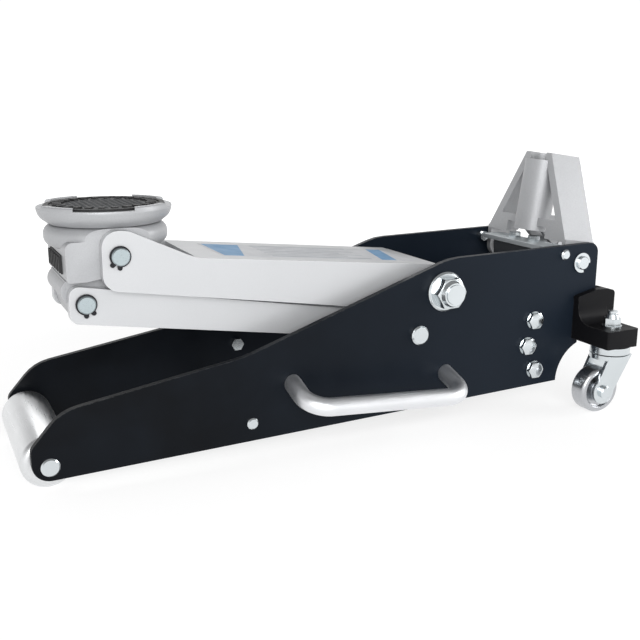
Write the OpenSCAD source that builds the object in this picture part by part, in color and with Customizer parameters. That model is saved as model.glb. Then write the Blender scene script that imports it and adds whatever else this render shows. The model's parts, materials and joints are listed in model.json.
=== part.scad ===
// Low-profile racing trolley jack: two side plates, a parallel lift arm with a swivelling saddle,
// a hydraulic unit between the plates, a tilting handle socket and two outboard casters.
// X runs from the front roller to the handle end, Z is up, and the jack stands on Z = 0.

/* [Frame] */
// Width over the two side plates
frame_w = 130; // [110:1:160]
// Thickness of a side plate
plate_t = 5; // [4:0.5:8]
// Front roller axle to the rear edge of the side plates
base_len = 481; // [430:1:580]
// Height of the side plates at the handle end
frame_h = 142; // [136:1:170]
// Height of the side plates at the step behind the roller
nose_h = 58; // [50:1:68]
// Clearance between the front of the side plates and the ground
front_clear = 8.4; // [5:0.2:11]
// Clearance between the rear of the side plates and the ground
rear_clear = 21; // [15:0.5:26]

/* [Front roller] */
// Diameter of the front roller
roller_d = 38.4; // [32:0.2:46]
// Diameter of the front axle
axle_d = 12; // [10:0.5:14]
// Gap between each end of the roller and the side plate
roller_gap = 2.5; // [2:0.1:4]

/* [Lift arm] */
// Lift arm pivot to saddle bracket pin
arm_len = 263.5; // [230:0.5:315]
// Slope of the lift arm in the stored pose, in degrees
arm_slope = 10; // [6:0.1:14]
// Plate rear edge to the lift arm pivot
pivot_back = 161; // [150:1:175]
// Height of the lift arm pivot
pivot_h = 114; // [108:1:118]
// Gap between an arm cheek and the side plate
arm_gap = 13; // [10:0.5:16]
// Thickness of an arm cheek
cheek_t = 7.5; // [6:0.5:9]
// Thickness of the arm's top panel
panel_t = 4; // [3:0.5:6]
// Diameter of the pivot shaft
shaft_d = 20; // [16:0.5:22]

/* [Parallel links] */
// Distance that each link pivot lies ahead of the arm pivot
link_ahead = 24; // [22:0.5:27]
// Distance that each link pivot lies below the arm pivot
link_below = 34; // [31:0.5:35]
// Thickness of a link
link_t = 7; // [5:0.5:8]
// Diameter of the two pins in the saddle bracket
pin_d = 13; // [12:0.5:16]
// Diameter of the link bolts in the side plates
link_bolt_d = 12; // [10:0.5:14]

/* [Saddle] */
// Diameter of the saddle over its rim
saddle_d = 98; // [90:1:110]
// Height of the saddle cup
saddle_h = 14.5; // [12.5:0.5:18]
// Diameter of the rubber pad
pad_d = 88; // [76:1:94]
// Bracket pin to the underside of the saddle
saddle_rise = 19.4; // [18.6:0.2:24]

/* [Handle socket] */
// Bore for the handle rod
rod_bore_d = 25.5; // [20:0.5:28]
// Wall of the handle tube
rod_wall = 3.3; // [2.5:0.1:4]
// Length of the socket above its pivot
socket_len = 91.5; // [80:0.5:110]
// Depth of the socket, front to back
socket_depth = 33; // [30:0.5:38]
// Width of the socket at its top
socket_top_w = 35; // [32:1:44]
// Backward lean of the socket in the stored pose, in degrees
socket_lean = 8.5; // [6:0.5:10]
// Wall of the socket
socket_wall = 5; // [4:0.5:6]

/* [Hydraulics] */
// Diameter of the ram
ram_d = 22; // [18:0.5:24]
// Bore of the ram cylinder
cylinder_bore_d = 30; // [27:0.5:32]
// Arm pivot to the pin that the ram pushes
lever_len = 36; // [34:0.5:37]
// Diameter of the pin that the ram pushes
lever_pin_d = 14; // [12:0.5:15]
// Diameter of the pump piston
pump_d = 12; // [10:0.5:14]

/* [Casters] */
// Diameter of a caster wheel
wheel_d = 40; // [34:0.5:41]
// Width of a caster wheel
wheel_w = 16; // [12:0.5:18]
// Side plate to the centre of a caster
caster_out = 31; // [28:0.5:40]
// Caster trail
trail = 14.5; // [12:0.5:15]

/* [Side handles] */
// Diameter of a side handle bar
bar_d = 14; // [10:0.5:16]
// Length of a side handle
handle_len = 140; // [110:1:165]
// Reach of a side handle from the side plate
handle_reach = 35.5; // [32:0.5:45]

/* [Hidden] */
$fn = 64;
eps = 0.01;

// Clearances: running fits, fixed fits, and gaps between moving faces
run = 0.06;
fit = 0.1;
gap = 0.7;

half_w = frame_w / 2;
inner_y = half_w - plate_t;
roller_r = roller_d / 2;
axle_r = axle_d / 2;
pin_r = pin_d / 2;
shaft_r = shaft_d / 2;

// Caster brackets reach this far behind the side plates, and set the rear end of the jack
leg_t = 8;
leg_over = 17;
rear_x = base_len + leg_over;
mid_x = (rear_x - roller_r) / 2;

// Arm pivot, bracket pins and link pivots, as [x, z]
pivot = [base_len - pivot_back, pivot_h];
along = [cos(arm_slope), -sin(arm_slope)];
across = [sin(arm_slope), cos(arm_slope)];
top_pin = pivot - arm_len * along;
link_offset = [link_ahead, link_below];
link_pivot = pivot - link_offset;
low_pin = top_pin - link_offset;

// Bolt and pin places on the side plates, as [x, z], and the step in their rear edge
notch_z = 97.5;
tie_at = [150, 27];
handle_mid = [base_len - 227.5, 49];
handle_slope = 4.3;
stop_at = [base_len - 38, frame_h - 7];
socket_at = [base_len - 18.6, frame_h - 15.6];
block_bolts_at = [
    [base_len - 67.5, 79.5],
    [base_len - 74, 57],
    [base_len - 65, 34.5]
];
block_bolt_r = 4;
tie_r = 5;
tie_screw_r = 2.5;
handle_bolt_r = 3;
stud_r = 8;
link_bolt_r = link_bolt_d / 2;
socket_pin_r = 6;
stop_r = 3;

// Arm and links, measured across the jack
arm_y = inner_y - arm_gap;
cheek_in = arm_y - cheek_t;
link_out = cheek_in - 1;
link_in = link_out - link_t;
bracket_y = cheek_in - gap;
knuckle_y = link_in - gap;

// Saddle stack
saddle_x = top_pin[0] + 1;
saddle_z = top_pin[1] + saddle_rise;
boss_h = 16;
boss_r = saddle_d / 2 - 4;
boss_top = saddle_z - 0.5;
hub_r = 15;
hub_h = 9.5;
screw_drop = -5.5;
screw_r = 2;
groove_h = 5;
groove_deep = 2;
rim_t = 5;
pad_floor = 5;

// Hydraulic unit
block_front = base_len - 85;
block_y = inner_y - leg_t - 0.2;
block_top = 106;
block_low = 30;
valve_z = 76;
valve_y = 26;
barrel_low = 63;
filler_x = block_front + 22;
ram_z = pivot[1] - lever_len + 1.2;
lever_lag = 9;
lever_at = pivot + lever_len * [sin(lever_lag), -cos(lever_lag)];
lever_pin_r = lever_pin_d / 2;
ram_gap = 0.5;
ram_nose = lever_at[0] + lever_pin_r + ram_gap;
ram_len = 82;
piston_len = 12;
gland_front = block_front - 44;
cylinder_wall = 4;
cylinder_r = cylinder_bore_d / 2 + cylinder_wall;
gland_len = 10;
bore_end = ram_nose + ram_len + 16;
tower_front = base_len - 43;
tower_back = base_len - 25;
tower_y = 30;
shelf_z = frame_h - 6.6;
shelf_t = 4;
shelf_bolt_x = base_len - 31;
shelf_bolt_y = 14;
shelf_bolt_r = 3;

// Handle socket, measured from its pivot along its own leaning axes
ear_y = inner_y - 3;
ear_r = 12.5;
socket_front = -14.5;
socket_low = 15;
tube_r = rod_bore_d / 2 + rod_wall;
tube_x = socket_front + 6.5;
tube_top = socket_len - 7;
tube_floor = 24;
cam_arm = 20;
cam_lead = 21;
cam_r = 6;
cam_at = socket_at + cam_arm * [cos(cam_lead), sin(cam_lead)];
pump_r = pump_d / 2;
pump_cap_r = 9;
pump_top = cam_at[1] - cam_r - 0.3;
pump_stroke = 2 * cam_arm * sin(cam_lead);
barrel_top = pump_top - pump_stroke - 9;
barrel_r = pump_r + 5;
barrel_floor = 2.5;

// Casters
wheel_r = wheel_d / 2;
caster_y = half_w + caster_out;
caster_x = base_len - 7;
shelf_low = wheel_d + 18;
arm_block_t = 16;
arm_block_r = 17;
stem_r = 4;
race_r = 17;
race_h = 6;
crown_top = shelf_low - race_h - 1;
crown_h = 4;
fork_t = 3;
fork_in = wheel_w / 2 + 1;

// A unit vector, and an angle brought into -180 to 180 degrees
function unit(v) = v / norm(v);
function wrap(a) = a > 180 ? a - 360 : a < -180 ? a + 360 : a;

// The arc that rounds corner b = [x, y, radius] between its neighbours a and c
function fillet(a, b, c) =
    let (
        p = [b[0], b[1]],
        d1 = unit([a[0], a[1]] - p),
        d2 = unit([c[0], c[1]] - p)
    )
    b[2] == 0 ? [p] :
    let (
        half = acos(d1 * d2) / 2,
        mid = p + unit(d1 + d2) * b[2] / sin(half),
        q1 = p + d1 * b[2] / tan(half) - mid,
        q2 = p + d2 * b[2] / tan(half) - mid,
        from = atan2(q1[1], q1[0]),
        turn = wrap(atan2(q2[1], q2[0]) - from),
        n = max(1, ceil(abs(turn) / 12))
    )
    [for (k = [0 : n]) mid + b[2] * [cos(from + turn * k / n), sin(from + turn * k / n)]];

// The outline through corners [x, y, radius]
function rounded(c) = [
    for (i = [0 : len(c) - 1]) each fillet(c[(i + len(c) - 1) % len(c)], c[i], c[(i + 1) % len(c)])
];

// A point given along and across the arm from its front pin, as [x, z]
function on_arm(u, v) = top_pin + u * along + v * across;
function on_link(u, v) = low_pin + u * along + v * across;
function arm_corner(u, v, r) = [on_arm(u, v)[0], on_arm(u, v)[1], r];
function link_corner(u, v, r) = [on_link(u, v)[0], on_link(u, v)[1], r];

// Half the width of the socket at height z above its pivot
function socket_half(z) =
    ear_y + (socket_top_w / 2 - ear_y) * max(0, z - socket_low) / (socket_len - socket_low);

module placed() {
    translate([-mid_x, 0, 0])
        children();
}

module mirrored() {
    mirror([0, 1, 0])
        children();
}

module both_sides() {
    children();
    mirrored()
        children();
}

// An outline in the XZ plane, made solid from y0 to y1
module slab(y0, y1) {
    rotate([90, 0, 0])
        translate([0, 0, -y1])
            linear_extrude(y1 - y0)
                children();
}

// A round bar along Y through [x, z]
module bar(at, r, y0, y1) {
    translate([at[0], y0, at[1]])
        rotate([-90, 0, 0])
            cylinder(r = r, h = y1 - y0);
}

// A hexagonal bar along Y through [x, z]; af is the width across its flats
module hex_bar(at, af, y0, y1) {
    translate([at[0], y0, at[1]])
        rotate([-90, 0, 0])
            cylinder(d = af / cos(30), h = y1 - y0, $fn = 6);
}

// A hexagonal bar along Y whose outer corners are turned down by a chamfer
module chamfered_hex(at, af, y0, y1, chamfer) {
    corner_r = af / 2 / cos(30);
    intersection() {
        hex_bar(at, af, y0, y1);
        union() {
            bar(at, corner_r + 1, y0 - 1, y1 - chamfer);
            translate([at[0], y1 - chamfer, at[1]])
                rotate([-90, 0, 0])
                    cylinder(r1 = corner_r, r2 = corner_r - 1.75 * chamfer, h = chamfer);
        }
    }
}

// A round head along Y with a chamfered end
module head(at, r, y0, y1, chamfer) {
    bar(at, r, y0, y1 - chamfer);
    translate([at[0], y1 - chamfer, at[1]])
        rotate([-90, 0, 0])
            cylinder(r1 = r, r2 = r - chamfer, h = chamfer);
}

// A retaining ring with two lugs, lying across Y; open_at is the direction of its gap
module ring_clip(at, r_in, r_out, y0, y1, open_at) {
    lug_r = 1.7;
    lug_turn = 20;
    translate([at[0], y0, at[1]])
        rotate([0, -open_at, 0])
            rotate([-90, 0, 0])
                linear_extrude(y1 - y0)
                    difference() {
                        union() {
                            circle(r_out);
                            for (s = [-1, 1])
                                rotate(s * lug_turn)
                                    translate([r_out + 0.6, 0])
                                        circle(lug_r, $fn = 24);
                        }
                        circle(r_in);
                        polygon([[0, 0], [2 * r_out, 0.2 * r_out], [2 * r_out, -0.2 * r_out]]);
                    }
}

/* Frame */

module side_plate() {
    nose_front = -12.4;
    notch_x = base_len - leg_over;
    corner_gap = 1.3;
    slope_low = [146, nose_h + 22];
    hump_x = pivot[0] + 5;
    arc_r = wheel_r + 16;
    arc_at = [caster_x + 4, wheel_r];
    outline = [
        [nose_front, front_clear, 13],
        [nose_front, roller_r + 14, 8],
        [9.5, nose_h, 34],
        [slope_low[0], slope_low[1], 60],
        [hump_x, frame_h - 1.5, 60],
        [base_len, frame_h + corner_gap, 9],
        [base_len, notch_z + 4, 2],
        [notch_x, notch_z, 2],
        [notch_x, rear_clear, 0]
    ];
    slab(inner_y, half_w)
        difference() {
            polygon(rounded(outline));
            translate(arc_at)
                circle(arc_r);
            circle_at([0, roller_r], axle_r + fit);
            circle_at(tie_at, tie_screw_r + fit);
            for (p = handle_roots)
                circle_at(p, handle_bolt_r + fit);
            circle_at(pivot, stud_r + fit);
            circle_at(link_pivot, link_bolt_r + fit);
            circle_at(stop_at, stop_r + fit);
            circle_at(socket_at, socket_pin_r + fit);
            for (p = block_bolts_at)
                circle_at(p, block_bolt_r + fit);
        }
}

module circle_at(at, r) {
    translate(at)
        circle(r);
}

handle_roots = [
    for (s = [-1, 1])
        handle_mid + s * handle_len / 2 * [cos(handle_slope), -sin(handle_slope)]
];

module right_side_plate() {
    color("#17181b")
        placed()
            side_plate();
}

module left_side_plate() {
    color("#17181b")
        placed()
            mirrored()
                side_plate();
}

roller_y = inner_y - roller_gap;
bush_r = axle_r + 2;

module front_roller() {
    edge_r = 5;
    color("#c9cbcf")
        placed()
            translate([0, 0, roller_r])
                rotate([-90, 0, 0])
                    rotate_extrude()
                        polygon(rounded([
                            [bush_r, -roller_y, 0],
                            [roller_r, -roller_y, edge_r],
                            [roller_r, roller_y, edge_r],
                            [bush_r, roller_y, 0]
                        ]));
}

module roller_bushes() {
    flange_t = roller_gap - 0.5;
    sleeve_len = 14;
    color("#b08d57")
        placed()
            both_sides()
                difference() {
                    union() {
                        bar([0, roller_r], bush_r - 0.02, roller_y - sleeve_len, roller_y + 0.1);
                        bar([0, roller_r], bush_r + 3, roller_y + 0.1, roller_y + flange_t);
                    }
                    bar([0, roller_r], axle_r + run, roller_y - sleeve_len - 1, inner_y);
                }
}

module front_axle() {
    color("#cfd3d6")
        placed()
            union() {
                bar([0, roller_r], axle_r, -half_w - eps, half_w + eps);
                both_sides()
                    head([0, roller_r], axle_r + 0.7, half_w, half_w + 2, 1);
            }
}

module tie_rod() {
    color("#8d9094")
        placed()
            difference() {
                bar(tie_at, tie_r, -inner_y, inner_y);
                both_sides()
                    bar(tie_at, tie_screw_r + 0.05, inner_y - 14, inner_y + 1);
            }
}

module tie_rod_screws() {
    color("#cfd3d6")
        placed()
            both_sides()
                union() {
                    bar(tie_at, tie_screw_r, inner_y - 13, half_w + eps);
                    head(tie_at, 4.6, half_w, half_w + 2.4, 1);
                }
}

// One bent bar; its legs stand on the side plate and droop away from it
module side_handle() {
    bend_r = 18;
    droop = 15.5;
    r = bar_d / 2;
    half = handle_len / 2;
    leg = handle_reach - bend_r;
    bite = 4;
    difference() {
        translate([handle_mid[0], half_w, handle_mid[1]])
            rotate([0, handle_slope, 0])
                rotate([-droop, 0, 0]) {
                    for (s = [-1, 1]) {
                        translate([s * half, -bite, 0])
                            rotate([-90, 0, 0])
                                cylinder(r = r, h = leg + bite);
                        translate([s * (half - bend_r), leg, 0])
                            rotate([0, 0, s > 0 ? 0 : 90])
                                rotate_extrude(angle = 90)
                                    translate([bend_r, 0])
                                        circle(r);
                    }
                    translate([bend_r - half, handle_reach, 0])
                        rotate([0, 90, 0])
                            cylinder(r = r, h = 2 * (half - bend_r));
                }
        translate([handle_mid[0] - handle_len, half_w - 30, handle_mid[1] - 40])
            cube([2 * handle_len, 30, 80]);
        for (p = handle_roots)
            bar(p, handle_bolt_r + 0.05, half_w - 1, half_w + 9);
    }
}

module right_handle() {
    color("#d5d7da")
        placed()
            side_handle();
}

module left_handle() {
    color("#d5d7da")
        placed()
            mirrored()
                side_handle();
}

module handle_bolts() {
    color("#cfd3d6")
        placed()
            both_sides()
                for (p = handle_roots)
                    union() {
                        bar(p, handle_bolt_r, inner_y - eps, half_w + 8);
                        hex_bar(p, 10, inner_y - 4.2, inner_y);
                    }
}

/* Arm pivot */

nut_h = 16;
nut_af = 24;
nut_flange_r = 16.5;

module arm_shaft() {
    color("#c4c8cc")
        placed()
            union() {
                bar(pivot, shaft_r, -inner_y + fit, inner_y - fit);
                bar(pivot, stud_r, -half_w - nut_h - 0.8, half_w + nut_h + 0.8);
            }
}

module flange_nuts() {
    flange_t = 3.5;
    collar_h = 3.6;
    hex_end = half_w + nut_h - collar_h;
    color("#d9dcdf")
        placed()
            both_sides()
                difference() {
                    union() {
                        head(pivot, nut_flange_r, half_w, half_w + flange_t, 1.5);
                        chamfered_hex(pivot, nut_af, half_w + 1, hex_end, 1);
                        translate([pivot[0], hex_end - 1, pivot[1]])
                            rotate([-90, 0, 0])
                                cylinder(r1 = nut_af / 2 - 0.4, r2 = stud_r + 1.6, h = collar_h + 1);
                    }
                    bar(pivot, stud_r + 0.05, half_w - 1, half_w + nut_h + 1);
                }
}

module pivot_spacers() {
    color("#8d9094")
        placed()
            both_sides()
                difference() {
                    bar(pivot, shaft_r + 4, arm_y + 0.4, inner_y - fit);
                    bar(pivot, shaft_r + fit, arm_y, inner_y);
                }
}

module link_bolts() {
    color("#d2d5d8")
        placed()
            both_sides()
                union() {
                    head(link_pivot, 8, half_w, half_w + 4.5, 1.2);
                    bar(link_pivot, link_bolt_r, link_in - 1, half_w + eps);
                    bar(link_pivot, 4, link_in - 9, link_in);
                }
}

module link_bolt_nuts() {
    color("#a9adb1")
        placed()
            both_sides()
                difference() {
                    hex_bar(link_pivot, 13, link_in - 8, link_in - 1 - fit);
                    bar(link_pivot, 4.05, link_in - 9, link_in);
                }
}

/* Lift arm */

bush_wall = 2;
pivot_tube_r = shaft_r + bush_wall + 3;
panel_u = 57;

// The arm's cheek, seen from the side
module cheek_outline() {
    boss_round = pivot_tube_r + 4;
    difference() {
        union() {
            polygon(rounded([
                arm_corner(-15.5, 17, 12),
                arm_corner(4, 18.2, 12),
                arm_corner(panel_u - 2, 4.2, 30),
                arm_corner(arm_len + 3, 19.4, 2),
                arm_corner(arm_len + 3, 0, 0),
                arm_corner(arm_len - 12, -17, 0),
                arm_corner(arm_len - 40, -15, 20),
                arm_corner(arm_len - 78, -22, 30),
                arm_corner(-8.5, -25.4, 12)
            ]));
            circle_at(pivot, boss_round);
        }
        circle_at(top_pin, pin_r + 0.02);
    }
}

// The arm's top panel, seen from the side
module panel_outline() {
    low = 4.4;
    high = 19.3;
    polygon([
        on_arm(panel_u, low),
        on_arm(arm_len + 3, high),
        on_arm(arm_len + 3, high - panel_t),
        on_arm(panel_u, low - panel_t)
    ]);
}

// The pair of plates that carry the lever pin below the pivot
module lever_outline() {
    eye_r = lever_pin_r + 5;
    side = unit(lever_at - pivot);
    normal = [-side[1], side[0]];
    circle_at(pivot, pivot_tube_r);
    circle_at(lever_at, eye_r);
    polygon([
        pivot + normal * (pivot_tube_r - 0.5),
        lever_at + normal * (eye_r - 0.5),
        lever_at - normal * (eye_r - 0.5),
        pivot - normal * (pivot_tube_r - 0.5)
    ]);
}

lever_in = ram_d / 2 + 2;
lever_out = lever_in + 6;

module lift_arm() {
    color("#c6c8cc")
        placed()
            difference() {
                union() {
                    both_sides()
                        slab(cheek_in, arm_y)
                            cheek_outline();
                    slab(-cheek_in - eps, cheek_in + eps)
                        panel_outline();
                    bar(pivot, pivot_tube_r, -cheek_in - eps, cheek_in + eps);
                    both_sides()
                        slab(lever_in, lever_out)
                            lever_outline();
                }
                bar(pivot, shaft_r + bush_wall, -arm_y - 1, arm_y + 1);
                bar(lever_at, lever_pin_r + 0.02, -lever_out - 1, lever_out + 1);
            }
}

module arm_bushes() {
    bush_len = 20;
    color("#b08d57")
        placed()
            both_sides()
                difference() {
                    bar(pivot, shaft_r + bush_wall - 0.02, arm_y - bush_len, arm_y);
                    bar(pivot, shaft_r + run, arm_y - bush_len - 1, arm_y + 1);
                }
}

module lever_pin() {
    color("#9a9da1")
        placed()
            union() {
                bar(lever_at, lever_pin_r, -lever_out - 1, lever_out + 1);
                both_sides()
                    bar(lever_at, lever_pin_r + 1.5, lever_out + fit, lever_out + 2);
            }
}

clip_t = 1.2;
clip_groove_r = pin_r - 0.9;

// A plain pin with a chamfer and a clip groove near each end; face_y is the face its clip lies on
module clipped_pin(at, face_y) {
    end_y = face_y + 3.6;
    difference() {
        union() {
            bar(at, pin_r, -end_y + 1, end_y - 1);
            both_sides()
                head(at, pin_r, end_y - 1 - eps, end_y, 0.8);
        }
        both_sides()
            difference() {
                bar(at, pin_r + 1, face_y + 0.2, face_y + 0.2 + clip_t + fit);
                bar(at, clip_groove_r, face_y, face_y + 2 * clip_t);
            }
    }
}

module upper_pin() {
    color("#b9c4c6")
        placed()
            clipped_pin(top_pin, arm_y);
}

module upper_clips() {
    color("#101113")
        placed()
            both_sides()
                ring_clip(top_pin, clip_groove_r + 0.05, pin_r + 1.1, arm_y + 0.25, arm_y + 0.25 + clip_t, 245);
}

module lower_pin() {
    color("#b9c4c6")
        placed()
            clipped_pin(low_pin, link_out);
}

module lower_clips() {
    color("#101113")
        placed()
            both_sides()
                ring_clip(low_pin, clip_groove_r + 0.05, pin_r + 1.1, link_out + 0.25, link_out + 0.25 + clip_t, 287);
}

/* Parallel links */

module link() {
    difference() {
        union() {
            slab(link_in, link_out)
                polygon(rounded([
                    link_corner(-13.5, 12, 7),
                    link_corner(arm_len + 4, 12, 0),
                    link_corner(arm_len + 4, -9.5, 0),
                    link_corner(-9.5, -15, 7)
                ]));
            bar(link_pivot, 14, link_in, link_out);
        }
        bar(low_pin, pin_r + 0.02, link_in - 1, link_out + 1);
        bar(link_pivot, link_bolt_r + run, link_in - 1, link_out + 1);
    }
}

module right_link() {
    color("#c6c8cc")
        placed()
            link();
}

module left_link() {
    color("#c6c8cc")
        placed()
            mirrored()
                link();
}

/* Saddle bracket */

bracket_front = low_pin[0] - 12;
bumper_z = top_pin[1] - 14;
bumper_h = 13.5;
bumper_seat = 4;
bumper_front = bracket_front - 2.5;
bumper_y = bracket_y - 16;

module bracket_wide_outline() {
    step = low_pin[1] + 16;
    polygon(rounded([
        [bracket_front, boss_top - boss_h + 7.5, 5],
        [bracket_front, step, 2],
        [low_pin[0] + 2, step, 0],
        [top_pin[0] + 22, low_pin[1] + 23, 8],
        [top_pin[0] + 24, boss_top - boss_h + 7.5, 0]
    ]));
}

module bracket_knuckle_outline() {
    foot = low_pin[1] - 16;
    polygon(rounded([
        [bracket_front, low_pin[1] + 16, 0],
        [bracket_front, low_pin[1] + 2, 3],
        [bracket_front + 6, foot, 4],
        [low_pin[0] + 14, foot, 6],
        [low_pin[0] + 20, low_pin[1] + 22, 0]
    ]));
}

module saddle_bracket() {
    edge_r = 7;
    roll_r = 9.5;
    roll_at = [low_pin[0] - 6, low_pin[1] + 8];
    pocket_y = knuckle_y - 9;
    color("#cdcfd2")
        placed()
            difference() {
                union() {
                    intersection() {
                        translate([saddle_x, 0, boss_top - boss_h])
                            rotate_extrude()
                                polygon(rounded([
                                    [0, 0, 0],
                                    [boss_r, 0, edge_r],
                                    [boss_r, boss_h, edge_r],
                                    [0, boss_h, 0]
                                ]));
                        translate([0, 0, boss_top])
                            cube([4 * boss_r + 2 * saddle_x, 2 * bracket_y, 4 * boss_h], center = true);
                    }
                    slab(-bracket_y, bracket_y)
                        bracket_wide_outline();
                    slab(-knuckle_y, knuckle_y)
                        bracket_knuckle_outline();
                    bar(roll_at, roll_r, -knuckle_y + 1, knuckle_y - 1);
                }
                bar(top_pin, pin_r + run, -bracket_y - 1, bracket_y + 1);
                bar(low_pin, pin_r + run, -knuckle_y - 1, knuckle_y + 1);
                translate([saddle_x, 0, saddle_z - hub_h - 0.5])
                    cylinder(r = hub_r + run, h = hub_h + 1);
                translate([top_pin[0] + 9.5, -pocket_y, low_pin[1] + 8])
                    cube([60, 2 * pocket_y, boss_top - boss_h - low_pin[1] - 10]);
                translate([bracket_front - 10, -bumper_y - fit, bumper_z - fit])
                    cube([10 + bumper_seat, 2 * bumper_y + 2 * fit, bumper_h + 2 * fit]);
                translate([saddle_x, 0, saddle_z + screw_drop])
                    rotate([0, 90, 0])
                        cylinder(r = screw_r + fit, h = boss_r + 1);
            }
}

module bracket_bumper() {
    ribs = 7;
    rib_w = 2.4;
    back_x = bracket_front + bumper_seat - fit;
    pitch = (2 * bumper_y - rib_w) / (ribs - 1);
    color("#141519")
        placed()
            union() {
                translate([bumper_front + 1.5, -bumper_y, bumper_z])
                    cube([back_x - bumper_front - 1.5, 2 * bumper_y, bumper_h]);
                for (i = [0 : ribs - 1])
                    translate([bumper_front, -bumper_y + i * pitch, bumper_z + 1])
                        cube([2, rib_w, bumper_h - 2]);
            }
}

module saddle_screw() {
    color("#9a9da1")
        placed()
            translate([saddle_x + hub_r - groove_deep + 0.4, 0, saddle_z + screw_drop])
                rotate([0, 90, 0])
                    cylinder(r = screw_r, h = 20);
}

/* Saddle */

pad_r = pad_d / 2;
saddle_r = saddle_d / 2;

module saddle_cup() {
    notches = 4;
    notch_turn = 77.5;
    notch_w = 42;
    notch_deep = 2.6;
    color("#c4c6ca")
        placed()
            translate([saddle_x, 0, saddle_z])
                difference() {
                    union() {
                        rotate_extrude()
                            polygon(rounded([
                                [0, 0, 0],
                                [saddle_r - 8, 0, 2],
                                [saddle_r - 1.5, saddle_h - 9.5, 9],
                                [saddle_r, saddle_h - 4, 3],
                                [saddle_r - 0.6, saddle_h, 1.4],
                                [pad_r + 0.3, saddle_h, 0],
                                [pad_r + 0.3, pad_floor, 0],
                                [0, pad_floor, 0]
                            ]));
                        translate([0, 0, -hub_h])
                            cylinder(r = hub_r, h = hub_h + eps);
                    }
                    for (i = [0 : notches - 1])
                        rotate(notch_turn + i * 360 / notches)
                            translate([pad_r - 12, -notch_w / 2, saddle_h - notch_deep])
                                cube([30, notch_w, 10]);
                    translate([0, 0, screw_drop - groove_h / 2])
                        difference() {
                            cylinder(r = hub_r + 1, h = groove_h);
                            translate([0, 0, -1])
                                cylinder(r = hub_r - groove_deep, h = groove_h + 2);
                        }
                }
}

module saddle_pad() {
    teeth = 24;
    body_h = saddle_h - pad_floor - 2;
    tooth_h = 1.6;
    color("#1a1b1e")
        placed()
            translate([saddle_x, 0, saddle_z + pad_floor + 0.05])
                union() {
                    cylinder(r = pad_r, h = body_h);
                    difference() {
                        cylinder(r = pad_r - 0.5, h = body_h + 1);
                        translate([0, 0, body_h])
                            cylinder(r = pad_r - 4, h = 5);
                    }
                    for (i = [0 : teeth - 1])
                        rotate(i * 360 / teeth)
                            translate([pad_r - 13, -2.2, body_h - 1])
                                cube([6.5, 4.4, tooth_h + 1]);
                }
}

/* Hydraulic unit */

module pump_block() {
    back_x = rear_x - 3;
    port_z = ram_z;
    color("#33363b")
        placed()
            difference() {
                union() {
                    slab(-block_y, block_y)
                        polygon(rounded([
                            [block_front, block_low, 6],
                            [base_len - 41, block_low, 4],
                            [base_len - 32, shelf_low, 8],
                            [back_x, shelf_low, 4],
                            [back_x, block_top - 22, 6],
                            [tower_back + 8, block_top, 6],
                            [block_front, block_top, 6]
                        ]));
                    translate([cam_at[0], 0, block_top - 26])
                        cylinder(r = barrel_r + 5, h = 22);
                }
                translate([block_front - 1, 0, port_z])
                    rotate([0, 90, 0])
                        cylinder(r = cylinder_r + 0.05, h = bore_end - block_front + 5);
                translate([cam_at[0], 0, barrel_low - 0.1])
                    cylinder(r = barrel_r + 0.05, h = block_top);
                both_sides()
                    for (p = block_bolts_at)
                        bar(p, block_bolt_r + 0.05, block_y - 9, block_y + 1);
                translate([back_x - 25, valve_y, valve_z])
                    rotate([0, 90, 0])
                        cylinder(r = 4 + run, h = 26);
                translate([filler_x, 0, block_top - 6])
                    cylinder(r = 4.05, h = 7);
            }
}

// The post that stands on the block and carries the cross plate
module bridge_post() {
    color("#33363b")
        placed()
            difference() {
                translate([tower_front, -tower_y, block_top])
                    cube([tower_back - tower_front, 2 * tower_y, shelf_z - block_top]);
                for (s = [-1, 1])
                    translate([shelf_bolt_x, s * shelf_bolt_y, shelf_z - 12])
                        cylinder(r = shelf_bolt_r + 0.05, h = 13);
            }
}

module block_bolts() {
    head_af = 13.5;
    head_h = 5.5;
    color("#cfd3d6")
        placed()
            both_sides()
                for (p = block_bolts_at)
                    union() {
                        bar(p, block_bolt_r, block_y - 8, half_w + eps);
                        bar(p, head_af / 2 + 1, half_w, half_w + 1.2);
                        chamfered_hex(p, head_af, half_w + 1, half_w + head_h, 1.1);
                    }
}

module ram_cylinder() {
    color("#4a4d52")
        placed()
            translate([gland_front + gland_len, 0, ram_z])
                rotate([0, 90, 0])
                    difference() {
                        cylinder(r = cylinder_r, h = bore_end + 3 - gland_front - gland_len);
                        translate([0, 0, -1])
                            cylinder(r = cylinder_bore_d / 2, h = bore_end - gland_front - gland_len + 1);
                    }
}

module gland_nut() {
    color("#b9bcc0")
        placed()
            translate([gland_front, 0, ram_z])
                rotate([0, 90, 0])
                    difference() {
                        union() {
                            cylinder(r = cylinder_r, h = gland_len - fit);
                            cylinder(r = cylinder_bore_d / 2 - 0.05, h = gland_len + 6);
                        }
                        translate([0, 0, -1])
                            cylinder(r = ram_d / 2 + run, h = gland_len + 8);
                    }
}

module ram() {
    color("#dfe2e5")
        placed()
            translate([ram_nose, 0, ram_z])
                rotate([0, 90, 0])
                    union() {
                        cylinder(r1 = ram_d / 2 - 1.5, r2 = ram_d / 2, h = 1.5);
                        translate([0, 0, 1.5 - eps])
                            cylinder(r = ram_d / 2, h = ram_len - piston_len);
                        translate([0, 0, ram_len - piston_len])
                            cylinder(r = cylinder_bore_d / 2 - run, h = piston_len);
                    }
}

module cross_plate() {
    side_y = inner_y - 16;
    color("#d8dcdf")
        placed()
            difference() {
                translate([tower_front - 2, -side_y, shelf_z])
                    cube([tower_back - tower_front + 2, 2 * side_y, shelf_t]);
                for (s = [-1, 1])
                    translate([shelf_bolt_x, s * shelf_bolt_y, shelf_z - 1])
                        cylinder(r = shelf_bolt_r + fit, h = shelf_t + 2);
            }
}

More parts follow.
